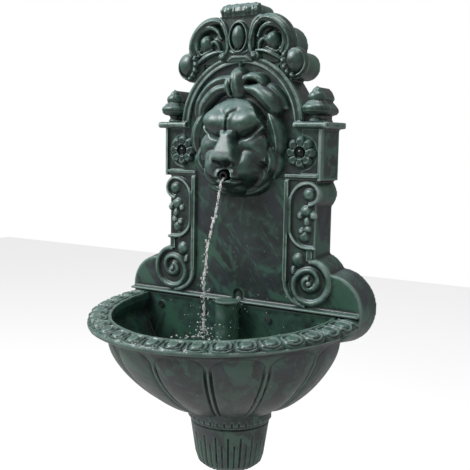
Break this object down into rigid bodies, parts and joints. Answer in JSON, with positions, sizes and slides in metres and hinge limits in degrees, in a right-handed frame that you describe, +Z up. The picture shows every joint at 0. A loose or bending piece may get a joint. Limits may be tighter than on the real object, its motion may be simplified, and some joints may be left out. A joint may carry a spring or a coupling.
{
  "type": "garden wall fountain",
  "caption": "Wall fountain with a lion mask spout on an arched, scrolled back panel above a half-round basin, with a pump in the drum below the bowl.",
  "frame": {"origin": "midway between the round mouths of the two keyholes in the hanging plates, on the wall plane", "axes": "+Z up, -Y out from the wall towards the viewer, +X to the viewer's right"},
  "size_m": [0.448, 0.3103, 0.7517],
  "materials": {
    "aged_resin": "moulded resin, brown-black washed with green, marbled",
    "verdigris_resin": "moulded resin, dark green with pale verdigris on the edges",
    "dark_plastic": "moulded black plastic",
    "rosette_boss": "domed screw head painted verdigris",
    "hose_pvc": "soft clear PVC hose",
    "steel": "stainless steel",
    "rubber": "black rubber",
    "filter_foam": "open black filter foam",
    "rotor_magnet": "dark grey bonded magnet and plastic impeller",
    "ceramic": "white ceramic shaft"
  },
  "bodies": {
    "root": {"back_panel": "aged_resin", "arch_moulding": "verdigris_resin", "side_scroll_right": "verdigris_resin", "side_scroll_left": "verdigris_resin", "rosette_right": "verdigris_resin", "rosette_left": "verdigris_resin", "rosette_screws": "rosette_boss", "finial_right": "verdigris_resin", "finial_left": "verdigris_resin", "crest_cartouche": "verdigris_resin", "crest_scroll_right": "verdigris_resin", "crest_scroll_left": "verdigris_resin", "lion_mask": "verdigris_resin", "mask_screws": "steel", "spout_nozzle": "dark_plastic", "spout_locknut": "dark_plastic", "spout_elbow": "dark_plastic", "supply_hose": "hose_pvc", "hose_clamps": "steel", "basin_bowl": "aged_resin", "seam_seal": "rubber", "basin_bolts": "steel", "basin_washers": "steel", "basin_wing_nuts": "steel", "sump_drum": "aged_resin", "sump_gasket": "rubber", "drum_screws": "steel", "pump_housing": "dark_plastic", "stator_potting": "dark_plastic", "pump_gland": "rubber", "housing_seal": "rubber", "suction_cups": "rubber", "pump_cover": "dark_plastic", "pump_strainer": "dark_plastic", "filter_foam": "filter_foam", "rotor_shaft": "ceramic", "shaft_bushes": "rubber", "hanger_plates": "steel", "hanger_screws": "steel", "cable_grommet": "rubber"},
    "riser": {"riser_cover": "aged_resin"},
    "rotor": {"impeller_rotor": "rotor_magnet"},
    "dial": {"flow_dial": "dark_plastic"}
  },
  "joints": [
    {"name": "riser_lift", "type": "slide", "parent": "root", "child": "riser", "axis": [0, 0, 1], "range_m": [0, 0.06]},
    {"name": "impeller_spin", "type": "hinge", "parent": "root", "child": "rotor", "pos_m": [0, -0.083, -0.478], "axis": [1, 0, 0], "continuous": true},
    {"name": "flow_adjust", "type": "hinge", "parent": "root", "child": "dial", "pos_m": [-0.0202, -0.083, -0.478], "axis": [1, 0, 0], "range_deg": [0, 90]}
  ]
}
